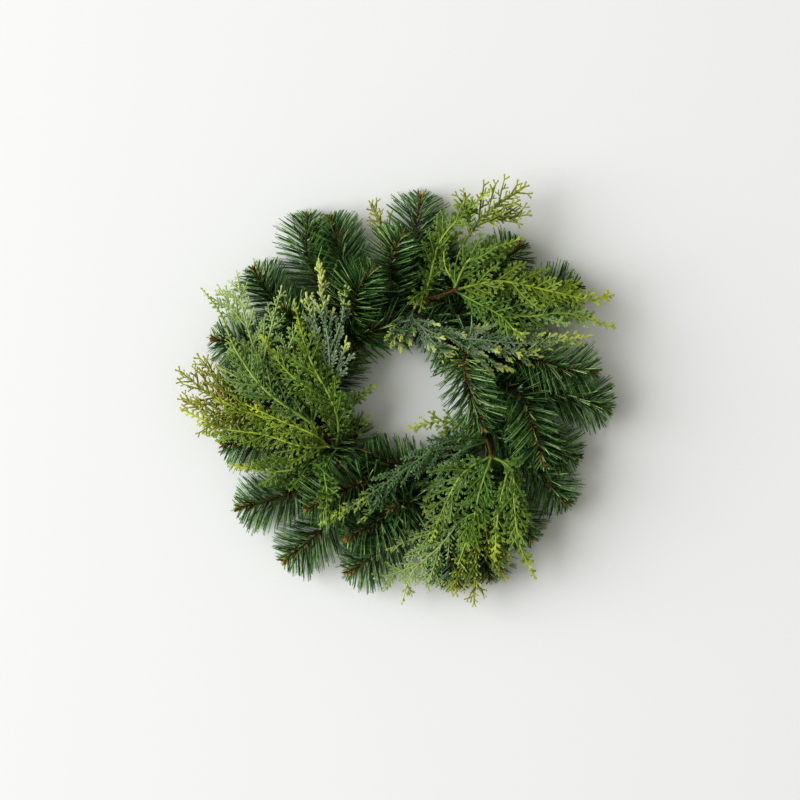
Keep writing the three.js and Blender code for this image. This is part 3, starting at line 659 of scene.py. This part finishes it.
needles = {
    "Length": 30 * mm, "Width": 0.78 * mm, "Thickness": 0.22 * mm, "Spacing": 0.158 * mm, "Bare": 2 * mm,
    "Lean": 59 * degree, "Length at bud": 8 * mm, "Growth": 1.2, "Closing": 16 * degree,
    "Fade": 6 * mm, "Bend": 1.6 * mm, "Bundle": 3.8, "Floor": 2.1 * mm, "Ceiling": 58 * mm,
    "Film": green, **hole}
# the tips at the upper left are denser than the others
thicker = {node: {"Bundle": 2.8, "Spacing": 0.14 * mm} for node in (
    "fir_tip_outer_15", "fir_tip_outer_16", "fir_tip_outer_17", "fir_tip_front_1", "fir_tip_front_2",
    "fir_tip_front_3")}
tailNeedles = {**needles, "Length": 26 * mm, "Length at bud": 26 * mm, "Spacing": 0.3 * mm, "Bare": 0.0,
               "Lean": 66 * degree, "Closing": 0.0}
scales = {  # the short brown strips along the wire
    "Length": 5 * mm, "Width": 1.3 * mm, "Thickness": 0.22 * mm, "Spacing": 0.95 * mm, "Bare": 14 * mm,
    "Lean": 64 * degree, "Length at bud": 4.5 * mm, "Growth": 0.2, "Closing": 20 * degree,
    "Fade": 8 * mm, "Bend": 0.4 * mm, "Bundle": 1.0, "Floor": 1 * mm, "Ceiling": 58 * mm,
    "Film": brown, **hole}
budStrips = {**scales, "Spacing": 0.26 * mm, "Bare": 0.0, "Lean": 32 * degree, "Length": 5.5 * mm,
             "Length at bud": 5 * mm, "Width": 1.6 * mm, "Closing": 4 * degree}
tail = {"turns": 1.3, "steps": 22, "pitch": 2.2}
budPoints = 3  # of a wire, at its end
seedShift = {"wire": 50, "scales": 100, "bud": 200, "tail": 300}


def tipPath(angle, points):
    # from the end of the tail, wound round the ring, along the wire to the bud
    turn = angle * degree
    inside = fromRing(points)
    outwards = 1 if (inside[0] - ringPoint(turn)).dot(ringPoint(turn) - ringCentre) > 0 else -1
    wound = []
    for i in range(tail["steps"]):
        left = tail["turns"] * (1 - i / tail["steps"])
        slid = turn - left * tail["pitch"] * pairRadius / ring["radius"]
        wound.append(ringPoint(slid, math.pi / 2 + outwards * 2 * math.pi * left, ring["wire"] + pairRadius))
    root = ringPoint(turn, math.pi / 2, ring["wire"] + pairRadius)
    return wound, smoothPath([root, *inside])


tips = [("fir_tip_" + layer + "_" + str(i + 1), row)
        for layer, rows in (("outer", outerTips), ("front", frontTips), ("inner", innerTips))
        for i, row in enumerate(rows)]
for seed, (node, (angle, *points)) in enumerate(tips):
    wound, path = tipPath(angle, points)
    wires = [path, *[offshoot(path, shoot) for shoot in shoots.get(node, [])]]
    meshes = [grown(twists, wound + path, pair),
              grown(films, wound, {**tailNeedles, "Seed": seed + seedShift["tail"]}),
              *[grown(twists, shoot, pair) for shoot in wires[1:]]]
    ownNeedles = {**needles, **thicker.get(node, {})}
    for i, wired in enumerate(wires):
        start = seed + seedShift["wire"] * i
        meshes += [grown(films, wired, {**ownNeedles, "Seed": start}),
                   grown(films, wired, {**scales, "Seed": start + seedShift["scales"]}),
                   grown(films, wired[-budPoints:], {**budStrips, "Seed": start + seedShift["bud"]})]
    finishPiece(node + "_film", meshes, node)
print("fir tips made", len(tips))

# Picks: the stems in millimetres from the ring's middle, then each frond by its kind and the points
# of its rib, the first on the stem
stems = {
    "top": [(10, 69.3, 3.4), (10.1, 70.5, 9), (13, 79, 20), (21, 79, 27), (38, 84, 30), (39, 84.5, 43)],
    "left": [(-58.6, -38.2, 3.4), (-58.4, -38.4, 9), (-54, -41, 22), (-73, -23, 30), (-74, -22, 43)],
    "bottom": [(60.4, -35.4, 3.4), (60.6, -35.5, 9), (66, -36, 22), (69, -47, 30), (69.5, -48, 43)],
}
fronds = {
    "top": [
        ["cypress", (18, 79, 25), (20, 93, 31), (28, 123, 40), (46, 144, 43), (64, 161, 40)],
        ["golden", (39, 84, 34), (41, 107, 36), (52, 130, 39), (70, 150, 41), (93, 165, 40)],
        ["cypress", (39, 84, 40), (50, 107, 43), (66, 116, 44), (90, 124, 40)],
        ["cypress", (39, 84, 38), (74, 91, 43), (117, 83, 44), (146, 77, 41), (164, 80, 35)],
        ["cypress", (39, 84, 31.5), (64, 76, 32), (92, 64, 34), (128, 66, 36), (163, 56, 31)],
        ["sprig", (39, 84, 35), (54, 76, 40), (78, 62, 43), (91, 47, 42)],
        ["cedar", (12, 80, 11), (6, 64, 22), (24, 50, 28), (60, 45, 33), (100, 42, 34), (148, 48, 30)],
        ["golden", (10.1, 70.5, 8.5), (-3, 108, 18), (-16, 130, 21), (-26, 152, 23)],
    ],
    "left": [
        ["cypress", (-74, -22, 41.5), (-112, 6, 47), (-135, 38, 47), (-147, 66, 42), (-161, 84, 35)],
        ["fan", (-74, -22, 39), (-95, 5, 38), (-117, 32, 40), (-128, 65, 40), (-134, 98, 37)],
        ["cedar", (-74, -22, 36.5), (-63, 4, 37), (-60, 30, 41), (-64, 66, 45), (-68, 106, 44)],
        ["golden", (-74, -22, 34), (-110, -14, 34), (-147, -4, 34), (-178, 18, 31)],
        ["cypress", (-54, -41, 26), (-78, -41, 32), (-112, -31, 34), (-149, -25, 30), (-178, -11, 24)],
        ["sprig", (-54, -41, 22), (-64, -58, 33), (-62, -76, 42), (-63, -97, 42)],
        ["cypress", (-74, -22, 32), (-76, -4, 36), (-84, 20, 38), (-92, 50, 38)],
        ["sprig", (-54, -41, 19), (-46, -18, 25), (-38, 0, 28), (-25, 8, 28)],
        ["cypress", (-55, -40, 23.5), (-53, -24, 37), (-58, -4, 47), (-72, 22, 48), (-80, 43, 46),
         (-87, 70, 41)],
        ["cypress", (-56, -40, 15), (-80, -56, 23), (-108, -61, 25), (-135, -56, 22)],
    ],
    "bottom": [
        ["cypress", (69.5, -48, 40), (84, -58, 44), (87, -90, 44), (92, -120, 38), (103, -143, 30)],
        ["cypress", (69.5, -48, 36), (60, -74, 40), (54, -100, 40), (44, -130, 34)],
        ["cypress", (69.5, -48, 33), (48, -60, 36), (34, -82, 37), (22, -112, 32)],
        ["cedar", (66, -36, 20), (36, -36, 30), (2, -57, 38), (-30, -80, 42), (-66, -101, 40)],
        ["cedar", (66, -36, 23), (42, -46, 31), (24, -68, 30), (15, -92, 26)],
        ["sprig", (66, -36, 17), (50, -26, 25), (32, -20, 28), (4, -26, 28)],
        ["golden", (69.5, -48, 31.5), (64, -85, 31), (58, -122, 32), (55, -164, 31)],
        ["fan", (69.5, -48, 30), (50, -90, 30), (29, -119, 30), (6, -141, 28), (-2, -164, 24)],
    ],
}

# Side ribs that fork off the main rib, and what sets a single frond apart from its kind
forks = {
    "pick_left_cypress_1": [[(-98, -4, 45), (-120, 8, 45), (-146, 22, 43)]],
    "pick_left_cypress_2": [
        [(-92, -36, 33), (-112, -18, 36), (-134, -10, 36), (-152, 0, 34)],
        [(-60, -41, 28), (-72, -31, 38), (-98, -20, 40), (-124, -8, 38)]],
    "pick_left_golden_1": [
        [(-110, -14, 34), (-136, 2, 35), (-162, 28, 33)],
        [(-118, -13, 34), (-148, -16, 34), (-176, -4, 30)]],
    "pick_left_fan_1": [
        [(-113, 26, 40), (-106, 56, 41), (-99, 84, 39)],
        [(-124, 54, 40), (-138, 70, 39), (-148, 86, 36)],
        [(-104, 14, 39.5), (-92, 40, 40), (-84, 60, 39)]],
    "pick_left_cedar_1": [
        [(-61, 20, 40), (-72, 52, 42), (-78, 78, 41)],
        [(-61, 34, 41), (-50, 62, 41), (-48, 84, 40)],
        [(-63, 4, 37), (-52, 22, 39), (-47, 44, 39)]],
    "pick_left_cypress_4": [[(-57, -8, 46), (-74, 4, 47), (-94, 20, 46), (-112, 44, 44)]],
    "pick_left_sprig_2": [[(-50, -30, 22), (-42, -26, 24), (-32, -18, 23)]],
    "pick_top_cypress_1": [[(20, 93, 31), (16, 84, 33), (9, 73, 33)]],
    "pick_top_cypress_2": [[(41, 88, 41), (32, 104, 38), (32, 132, 37)]],
    "pick_top_golden_1": [
        [(60, 139, 40), (78, 142, 40), (94, 144, 38)],
        [(52, 130, 39), (50, 146, 40), (47, 160, 40)]],
    "pick_top_cedar_1": [
        [(9, 66, 20), (0, 57, 25), (-10, 44, 25)],
        [(14, 58, 25), (22, 44, 29), (36, 30, 30)],
        [(36, 47, 30), (58, 34, 33), (84, 20, 33)],
        [(60, 45, 33), (86, 34, 34), (108, 32, 33)]],
    "pick_bottom_cypress_1": [[(82, -57, 44), (76, -82, 43), (73, -104, 41), (72, -126, 38)]],
    "pick_bottom_fan_1": [
        [(29, -119, 30), (22, -140, 28), (18, -156, 26)],
        [(40, -106, 30), (14, -112, 29), (-12, -122, 26)],
        [(12, -134, 28), (-8, -142, 26), (-22, -146, 24)]],
    "pick_bottom_golden_1": [
        [(62, -98, 31.5), (72, -124, 31), (76, -142, 29)],
        [(60, -112, 32), (46, -138, 31), (38, -152, 30)]],
    "pick_bottom_cedar_1": [[(2, -57, 38), (-16, -80, 38), (-35, -99, 36)]],
}
trimmed = {
    "pick_left_cypress_1": {"Until": 0.66, "Twig growth": 0.5},
    "pick_top_cypress_1": {"Branch length": 24 * mm, "Peak": 0.28},
    "pick_left_cedar_1": {"Branch length": 24 * mm, "Angle": 28 * degree, "Branch spacing": 5.2 * mm},
    "pick_left_golden_1": {"From": 0.3},
    "pick_top_golden_1": {"Branch length": 26 * mm},
    "pick_top_golden_2": {"Branch length": 20 * mm},
    "pick_top_cedar_1": {"Own age": 0.8},
    "pick_bottom_cypress_1": {"Branch length": 20 * mm, "Own age": 0.2},
    "pick_bottom_cedar_1": {"Branch length": 22 * mm, "Own age": 0.3, "Angle": 30 * degree,
                            "Twig size": 0.8},
    "pick_bottom_cedar_2": {"Angle": 30 * degree, "Twig size": 0.8},
    "pick_bottom_golden_1": {"From": 0.3},
    "pick_bottom_sprig_1": {"Branch length": 13 * mm, "Branch spacing": 5 * mm, "Twig spacing": 2.9 * mm,
                            "Twig size": 0.82, "Angle": 46 * degree},
}
sideRibs = {"branches": 0.62, "width": 0.85, "seedShift": 60}  # shares of the main rib's
tinted = {"pick_left_cypress_1": "sage", "pick_top_cypress_4": "sage", "pick_bottom_cypress_3": "sage",
          "pick_left_cypress_2": "bright", "pick_bottom_cypress_2": "sprig",
          "pick_top_cypress_3": "bright", "pick_bottom_sprig_1": "bright",
          "pick_bottom_cedar_1": "green cedar", "pick_bottom_cedar_2": "green cedar",
          "pick_top_golden_1": "green golden", "pick_bottom_golden_1": "green golden"}

# Scale twigs, in millimetres: each limb runs from (across, along) to (across, along), with its half
# width, and ends in a blunt point
twigLimbs = {
    "cypress": [((0, 0), (0.2, 8.0), 0.88), ((0, 1.5), (2.1, 5.4), 0.76), ((0.1, 2.9), (-1.7, 6.7), 0.76)],
    "cedar": [((0, 0), (0.3, 3.2), 0.7)],
    "golden": [((0, 0), (0, 3.4), 0.74), ((0, 3.0), (-0.9, 6.2), 0.68), ((0, 2.6), (2.7, 5.6), 0.68),
               ((-0.8, 5.5), (-1.1, 7.6), 0.95), ((2.3, 5.0), (3.4, 6.8), 0.9)],
    "fan": [((0, 0), (0.2, 5.4), 0.78), ((0.1, 2.2), (1.4, 4.4), 0.6)],
}
twigLimbs["sprig"] = twigLimbs["cypress"]
limb = {"sides": 5, "flat": 0.7, "rings": ((0, 0.75), (0.8, 1.0))}


def twigObject(kind):
    vertices, faces, along = [], [], []
    longest = max(end[1] for start, end, half in twigLimbs[kind])
    sides = limb["sides"]
    for start, end, half in twigLimbs[kind]:
        way = Vector((end[0] - start[0], end[1] - start[1])).normalized()
        first = len(vertices)
        for share, width in limb["rings"]:
            for k in range(sides):
                turn = 2 * math.pi * k / sides
                aside, raised = half * width * math.cos(turn), half * width * limb["flat"] * math.sin(turn)
                y = start[0] + (end[0] - start[0]) * share - way.y * aside
                z = start[1] + (end[1] - start[1]) * share + way.x * aside
                vertices.append(Vector((raised, y, z)) * mm)
                along.append(z / longest)
        vertices.append(Vector((0, *end)) * mm)
        along.append(end[1] / longest)
        faces.append([first + k for k in range(sides)][::-1])
        last = first + (len(limb["rings"]) - 1) * sides
        for k in range(sides):
            n = (k + 1) % sides
            faces.append((last + k, last + n, len(vertices) - 1))
            for low in range(first, last, sides):
                faces.append((low + k, low + n, low + sides + n, low + sides + k))
    mesh = bpy.data.meshes.new("twig " + kind)
    mesh.from_pydata(vertices, [], faces)
    mesh.attributes.new("along", "FLOAT", "POINT").data.foreach_set("value", along)
    volume = sum(mesh.vertices[f.vertices[0]].co.dot(f.normal) * f.area for f in mesh.polygons)
    if volume < 0:
        mesh.flip_normals()
    template = bpy.data.objects.new("twig " + kind, mesh)
    bpy.context.collection.objects.link(template)
    return template


frondKinds = {
    "cypress": {"Rib": 1.35 * mm, "Branch spacing": 3.9 * mm, "Until": 0.86,
        "Branch length": 29 * mm, "Branch radius": 0.8 * mm, "Shortest": 4 * mm, "From": 0.05,
        "Peak": 0.36, "Angle": 40 * degree, "Curl": 0.14, "Droop": 0.14, "Ruffle": 1.0,
        "Twig spacing": 2.2 * mm, "Twig angle": 36 * degree, "Twig size": 0.95, "Twig growth": 0.8,
        "Tilt": 0.7, "Own age": 0.38},
    "cedar": {"Rib": 1.1 * mm, "Branch spacing": 3.5 * mm, "Until": 0.92,
        "Branch length": 29 * mm, "Branch radius": 0.7 * mm, "Shortest": 7 * mm, "From": 0.06,
        "Peak": 0.35, "Angle": 34 * degree, "Curl": 0.12, "Droop": 0.1, "Ruffle": 0.5,
        "Twig spacing": 1.3 * mm, "Twig angle": 38 * degree, "Twig size": 0.95, "Twig growth": 1.6,
        "Tilt": 0.2, "Own age": 0.55},
    "fan": {"Rib": 1.2 * mm, "Branch spacing": 6.4 * mm, "Until": 0.95,
        "Branch length": 30 * mm, "Branch radius": 0.75 * mm, "Shortest": 5 * mm, "From": 0.3,
        "Peak": 0.55, "Angle": 42 * degree, "Curl": 0.1, "Droop": 0.04, "Ruffle": 0.2,
        "Twig spacing": 1.6 * mm, "Twig angle": 46 * degree, "Twig size": 1.05, "Twig growth": 0.7,
        "Tilt": 0.35, "Own age": 0.4},
    "golden": {"Rib": 1.1 * mm, "Branch spacing": 5.3 * mm, "Until": 0.95,
        "Branch length": 31 * mm, "Branch radius": 0.8 * mm, "Shortest": 7 * mm, "From": 0.4,
        "Peak": 0.6, "Angle": 34 * degree, "Curl": 0.08, "Droop": 0.0, "Ruffle": 0.4,
        "Twig spacing": 5.0 * mm, "Twig angle": 38 * degree, "Twig size": 0.95, "Twig growth": 0.9,
        "Tilt": 0.5, "Own age": 0.6},
    "sprig": {"Rib": 1.0 * mm, "Branch spacing": 3.4 * mm, "Until": 0.9,
        "Branch length": 15 * mm, "Branch radius": 0.75 * mm, "Shortest": 4 * mm, "From": 0.06,
        "Peak": 0.45, "Angle": 42 * degree, "Curl": 0.1, "Droop": 0.04, "Ruffle": 0.9,
        "Twig spacing": 2.1 * mm, "Twig angle": 36 * degree, "Twig size": 0.8, "Twig growth": 0.8,
        "Tilt": 0.9, "Own age": 0.4},
}
stemShape = {"Radius": 1.55 * mm, "End radius": 1.25 * mm, "Sides": 12, "Step": 0.8 * mm,
             "Knots": 0.35 * mm, "Grain": 0.3 * mm, "Surface": bark}
everyFrond = {"Rib end": 0.6 * mm, "Rib step": 2.4 * mm, "Ceiling": 60 * mm}
templates = {kind: twigObject(kind) for kind in twigLimbs}
seed = 0
for pick, rows in fronds.items():
    stemLine = smoothPath(fromRing(stems[pick]))
    finishPiece("pick_" + pick + "_bark", [grown(rods, stemLine, stemShape)],
                "pick_" + pick + "_stem")
    count = {}
    for kind, *points in rows:
        seed += 1
        count[kind] = count.get(kind, 0) + 1
        node = "pick_" + pick + "_" + kind + "_" + str(count[kind])
        shape = {**everyFrond, **frondKinds[kind], **trimmed.get(node, {}), "Twig": templates[kind],
                 "Seed": seed, "Plastic": plastics[tinted.get(node, kind)]}
        sideShape = {**shape, "Branch length": shape["Branch length"] * sideRibs["branches"],
                     "Rib": shape["Rib"] * sideRibs["width"], "From": 0.1, "Peak": 0.4}
        rib = offshoot(stemLine, points)
        meshes = [grown(moulded, rib, shape)]
        for i, fork in enumerate(forks.get(node, [])):
            meshes.append(grown(moulded, offshoot(rib, fork), {
                **sideShape, "Seed": seed + sideRibs["seedShift"] + i}))
        finishPiece(node + "_moulded", meshes, node)
for template in templates.values():
    bpy.data.objects.remove(template)
print("picks made", seed)

# Floor, light and camera
floorSide = 18.0  # wide enough that no view shows its edge
bpy.ops.mesh.primitive_plane_add(size=floorSide, location=(0, 0, 0))
ground = bpy.context.object
ground.name = "floor"
ground.data.materials.append(paintedWall())

window = {"size": 7.2, "away": 8.0, "azimuth": 174, "height": 33, "power": 638, "colour": "#fbfcff"}
turn, rise = window["azimuth"] * degree, window["height"] * degree
fromWindow = Vector((math.cos(turn) * math.cos(rise), math.sin(turn) * math.cos(rise), math.sin(rise)))
lamp = bpy.data.lights.new("window", "AREA")
lamp.size = window["size"]
lamp.energy = window["power"]
lamp.color = colour(window["colour"])[:3]
lampObject = bpy.data.objects.new("window", lamp)
lampObject.location = fromWindow * window["away"]
lampObject.rotation_euler = fromWindow.to_track_quat("Z", "Y").to_euler()
bpy.context.collection.objects.link(lampObject)

room = {"colour": "#fffff3", "strength": 0.29}
world = bpy.data.worlds.new("room")
bpy.context.scene.world = world
world.use_nodes = True
background = world.node_tree.nodes["Background"]
background.inputs["Color"].default_value = colour(room["colour"])
background.inputs["Strength"].default_value = room["strength"]
bpy.context.scene.view_settings.view_transform = "Standard"
bpy.context.scene.view_settings.look = "High Contrast"

view = {"lens": 100, "sensor": 36, "x": -4 * mm, "y": -3.2 * mm, "height": 1.808}
camera = bpy.data.cameras.new("camera")
camera.lens = view["lens"]
camera.sensor_width = view["sensor"]
cameraObject = bpy.data.objects.new("camera", camera)
cameraObject.location = ringCentre + Vector((view["x"], view["y"], view["height"]))
bpy.context.collection.objects.link(cameraObject)
bpy.context.scene.camera = cameraObject
